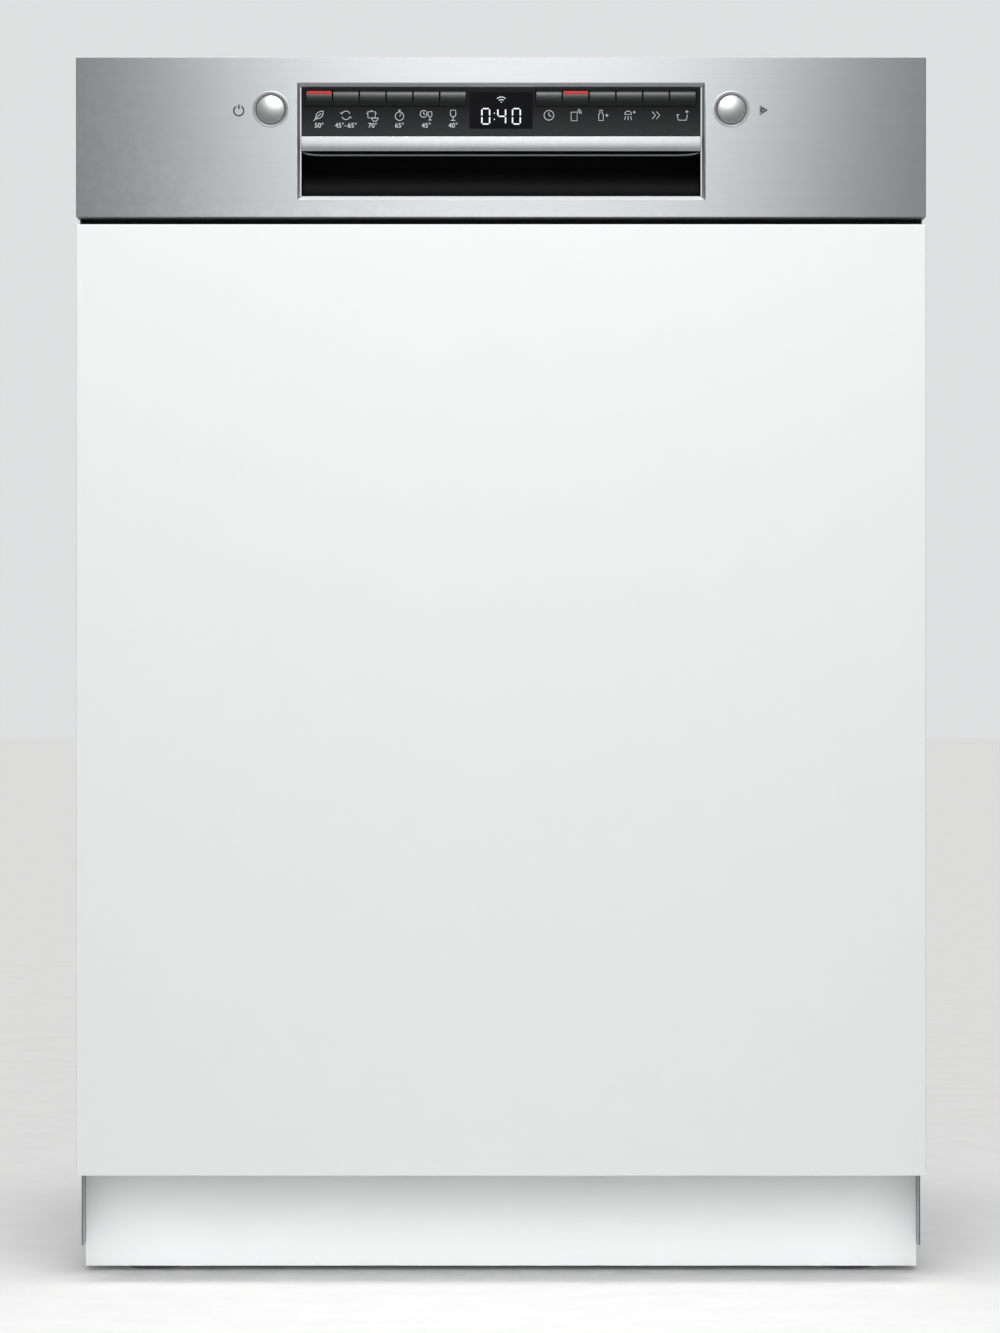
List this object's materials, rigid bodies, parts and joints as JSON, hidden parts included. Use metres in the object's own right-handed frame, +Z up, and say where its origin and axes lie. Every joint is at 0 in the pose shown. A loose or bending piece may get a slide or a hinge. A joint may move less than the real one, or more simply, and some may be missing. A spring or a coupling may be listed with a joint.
{
  "type": "built-in dishwasher",
  "caption": "Built-in dishwasher with a steel control fascia, grip pocket, white furniture front, steel tub, wheeled and sliding racks, spray arms and screw feet.",
  "frame": {"origin": "middle of the underside, at floor level, of the whole appliance", "axes": "+X to the right seen from the front, +Y to the rear, +Z up"},
  "size_m": [0.598, 0.573, 0.865],
  "materials": {
    "fascia_steel": "horizontally brushed stainless steel",
    "black_gloss": "glossy black plastic",
    "bright_bar": "bright satin chrome",
    "satin_button": "satin silver",
    "key_black": "black plastic, fine satin",
    "board_green": "circuit board",
    "white_lacquer": "white satin lacquer",
    "stainless": "satin stainless steel",
    "galvanised": "galvanised sheet",
    "hinge_steel": "zinc plated steel",
    "grey_plastic": "moulded grey plastic",
    "pale_plastic": "moulded pale grey plastic",
    "dark_plastic": "moulded dark plastic",
    "blue_plastic": "moulded blue plastic",
    "seal_rubber": "matt black rubber",
    "coated_wire": "nylon coated wire",
    "plinth_white": "white powder coat"
  },
  "bodies": {
    "cabinet": {"tub": "stainless", "door_gasket": "seal_rubber", "base_pan": "dark_plastic", "hinge_brackets": "hinge_steel", "left_side_panel": "galvanised", "right_side_panel": "galvanised", "rear_panel": "galvanised", "top_plate": "galvanised", "worktop_brackets": "hinge_steel", "kick_plate": "plinth_white", "sump": "dark_plastic", "circulation_pump": "grey_plastic", "drain_pump": "grey_plastic", "salt_container": "pale_plastic", "fine_filter": "stainless", "feed_pipe": "grey_plastic", "water_connections": "pale_plastic", "rack_rails": "stainless"},
    "door": {"control_fascia": "fascia_steel", "panel_housing": "black_gloss", "display_window": "black_gloss", "handle_bar": "bright_bar", "control_board": "board_green", "inner_door": "stainless", "outer_door": "galvanised", "furniture_front": "white_lacquer", "door_hinge_arms": "hinge_steel", "dispenser_body": "grey_plastic", "door_lock": "dark_plastic"},
    "power_button": {"power_button": "satin_button"},
    "start_button": {"start_button": "satin_button"},
    "program_key_1": {"program_key_1": "key_black"},
    "program_key_2": {"program_key_2": "key_black"},
    "program_key_3": {"program_key_3": "key_black"},
    "program_key_4": {"program_key_4": "key_black"},
    "program_key_5": {"program_key_5": "key_black"},
    "program_key_6": {"program_key_6": "key_black"},
    "option_key_1": {"option_key_1": "key_black"},
    "option_key_2": {"option_key_2": "key_black"},
    "option_key_3": {"option_key_3": "key_black"},
    "option_key_4": {"option_key_4": "key_black"},
    "option_key_5": {"option_key_5": "key_black"},
    "option_key_6": {"option_key_6": "key_black"},
    "dispenser_lid": {"dispenser_lid": "pale_plastic"},
    "rinse_aid_cap": {"rinse_aid_cap": "blue_plastic"},
    "front_left_foot": {"front_left_foot": "dark_plastic"},
    "front_right_foot": {"front_right_foot": "dark_plastic"},
    "rear_foot": {"rear_foot": "dark_plastic"},
    "rear_foot_shaft": {"rear_foot_shaft": "hinge_steel"},
    "salt_cap": {"salt_cap": "grey_plastic"},
    "micro_filter": {"micro_filter": "pale_plastic"},
    "lower_spray_arm": {"lower_spray_arm": "pale_plastic"},
    "upper_spray_arm": {"upper_spray_arm": "pale_plastic"},
    "lower_rack": {"lower_rack": "coated_wire"},
    "lower_rack_front_wheels": {"lower_rack_front_wheels": "grey_plastic"},
    "lower_rack_rear_wheels": {"lower_rack_rear_wheels": "grey_plastic"},
    "folding_tines": {"folding_tines": "coated_wire"},
    "upper_rack": {"upper_rack": "coated_wire"},
    "rail_middle": {"rail_middle": "stainless"},
    "cutlery_tray": {"cutlery_tray": "coated_wire"}
  },
  "joints": [
    {"name": "door_hinge", "type": "hinge", "parent": "cabinet", "child": "door", "pos_m": [0, -0.2535, 0.118], "axis": [1, 0, 0], "range_deg": [0, 90], "stiffness_Nm_per_rad": 26, "springref_deg": -5.73},
    {"name": "power_button_press", "type": "slide", "parent": "door", "child": "power_button", "axis": [0, 1, 0], "range_m": [0, 0.0025], "stiffness_N_per_m": 600},
    {"name": "start_button_press", "type": "slide", "parent": "door", "child": "start_button", "axis": [0, 1, 0], "range_m": [0, 0.0025], "stiffness_N_per_m": 600},
    {"name": "program_key_1_press", "type": "slide", "parent": "door", "child": "program_key_1", "axis": [0, 1, 0], "range_m": [0, 0.0012], "stiffness_N_per_m": 800},
    {"name": "program_key_2_press", "type": "slide", "parent": "door", "child": "program_key_2", "axis": [0, 1, 0], "range_m": [0, 0.0012], "stiffness_N_per_m": 800},
    {"name": "program_key_3_press", "type": "slide", "parent": "door", "child": "program_key_3", "axis": [0, 1, 0], "range_m": [0, 0.0012], "stiffness_N_per_m": 800},
    {"name": "program_key_4_press", "type": "slide", "parent": "door", "child": "program_key_4", "axis": [0, 1, 0], "range_m": [0, 0.0012], "stiffness_N_per_m": 800},
    {"name": "program_key_5_press", "type": "slide", "parent": "door", "child": "program_key_5", "axis": [0, 1, 0], "range_m": [0, 0.0012], "stiffness_N_per_m": 800},
    {"name": "program_key_6_press", "type": "slide", "parent": "door", "child": "program_key_6", "axis": [0, 1, 0], "range_m": [0, 0.0012], "stiffness_N_per_m": 800},
    {"name": "option_key_1_press", "type": "slide", "parent": "door", "child": "option_key_1", "axis": [0, 1, 0], "range_m": [0, 0.0012], "stiffness_N_per_m": 800},
    {"name": "option_key_2_press", "type": "slide", "parent": "door", "child": "option_key_2", "axis": [0, 1, 0], "range_m": [0, 0.0012], "stiffness_N_per_m": 800},
    {"name": "option_key_3_press", "type": "slide", "parent": "door", "child": "option_key_3", "axis": [0, 1, 0], "range_m": [0, 0.0012], "stiffness_N_per_m": 800},
    {"name": "option_key_4_press", "type": "slide", "parent": "door", "child": "option_key_4", "axis": [0, 1, 0], "range_m": [0, 0.0012], "stiffness_N_per_m": 800},
    {"name": "option_key_5_press", "type": "slide", "parent": "door", "child": "option_key_5", "axis": [0, 1, 0], "range_m": [0, 0.0012], "stiffness_N_per_m": 800},
    {"name": "option_key_6_press", "type": "slide", "parent": "door", "child": "option_key_6", "axis": [0, 1, 0], "range_m": [0, 0.0012], "stiffness_N_per_m": 800},
    {"name": "dispenser_lid_slide", "type": "slide", "parent": "door", "child": "dispenser_lid", "axis": [0, 0, -1], "range_m": [0, 0.055]},
    {"name": "rinse_aid_cap_turn", "type": "hinge", "parent": "door", "child": "rinse_aid_cap", "pos_m": [0.07, -0.2215, 0.5], "axis": [0, 1, 0], "range_deg": [0, 90]},
    {"name": "lower_rack_slide", "type": "slide", "parent": "cabinet", "child": "lower_rack", "axis": [0, -1, 0], "range_m": [0, 0.1002]},
    {"name": "upper_rack_slide", "type": "slide", "parent": "cabinet", "child": "upper_rack", "axis": [0, -1, 0], "range_m": [0, 0.4002]},
    {"name": "rail_middle_slide", "type": "slide", "parent": "cabinet", "child": "rail_middle", "axis": [0, -1, 0], "range_m": [0, 0.2002]},
    {"name": "cutlery_tray_slide", "type": "slide", "parent": "cabinet", "child": "cutlery_tray", "axis": [0, -1, 0], "range_m": [0, 0.3302]},
    {"name": "front_wheels_roll", "type": "hinge", "parent": "lower_rack", "child": "lower_rack_front_wheels", "pos_m": [0, -0.1525, 0.1685], "axis": [1, 0, 0], "range_deg": [0, 320]},
    {"name": "rear_wheels_roll", "type": "hinge", "parent": "lower_rack", "child": "lower_rack_rear_wheels", "pos_m": [0, 0.1797, 0.1685], "axis": [1, 0, 0], "range_deg": [0, 320]},
    {"name": "tines_fold", "type": "hinge", "parent": "lower_rack", "child": "folding_tines", "pos_m": [0, 0.0397, 0.19005], "axis": [1, 0, 0], "range_deg": [0, 90]},
    {"name": "lower_spray_spin", "type": "hinge", "parent": "cabinet", "child": "lower_spray_arm", "pos_m": [0, 0.0206, 0.16], "axis": [0, 0, 1], "continuous": true},
    {"name": "upper_spray_spin", "type": "hinge", "parent": "upper_rack", "child": "upper_spray_arm", "pos_m": [0, 0.0206, 0.44], "axis": [0, 0, 1], "continuous": true},
    {"name": "salt_cap_turn", "type": "hinge", "parent": "cabinet", "child": "salt_cap", "pos_m": [-0.165, -0.0794, 0.14], "axis": [0, 0, 1], "range_deg": [0, 330]},
    {"name": "micro_filter_turn", "type": "hinge", "parent": "cabinet", "child": "micro_filter", "pos_m": [0.062, 0.0206, 0.136], "axis": [0, 0, 1], "range_deg": [0, 90]},
    {"name": "front_left_foot_screw", "type": "slide", "parent": "cabinet", "child": "front_left_foot", "axis": [0, 0, -1], "range_m": [0, 0.06]},
    {"name": "front_right_foot_screw", "type": "slide", "parent": "cabinet", "child": "front_right_foot", "axis": [0, 0, -1], "range_m": [0, 0.06]},
    {"name": "rear_foot_screw", "type": "slide", "parent": "cabinet", "child": "rear_foot", "axis": [0, 0, -1], "range_m": [0, 0.0601]},
    {"name": "rear_foot_shaft_turn", "type": "hinge", "parent": "cabinet", "child": "rear_foot_shaft", "pos_m": [0.0093, -0.16, 0.07], "axis": [0, 1, 0], "range_deg": [0, 3600]}
  ],
  "couplings": [
    {"joint": "lower_rack_slide", "follows": "door_hinge", "m_per_rad": 0.063662},
    {"joint": "upper_rack_slide", "follows": "door_hinge", "m_per_rad": 0.25465},
    {"joint": "rail_middle_slide", "follows": "door_hinge", "m_per_rad": 0.12732},
    {"joint": "cutlery_tray_slide", "follows": "door_hinge", "m_per_rad": 0.21008},
    {"joint": "front_wheels_roll", "follows": "door_hinge", "ratio": 3.5368},
    {"joint": "rear_wheels_roll", "follows": "door_hinge", "ratio": 3.5368},
    {"joint": "rear_foot_screw", "follows": "rear_foot_shaft_turn", "m_per_rad": 0.00095493}
  ]
}
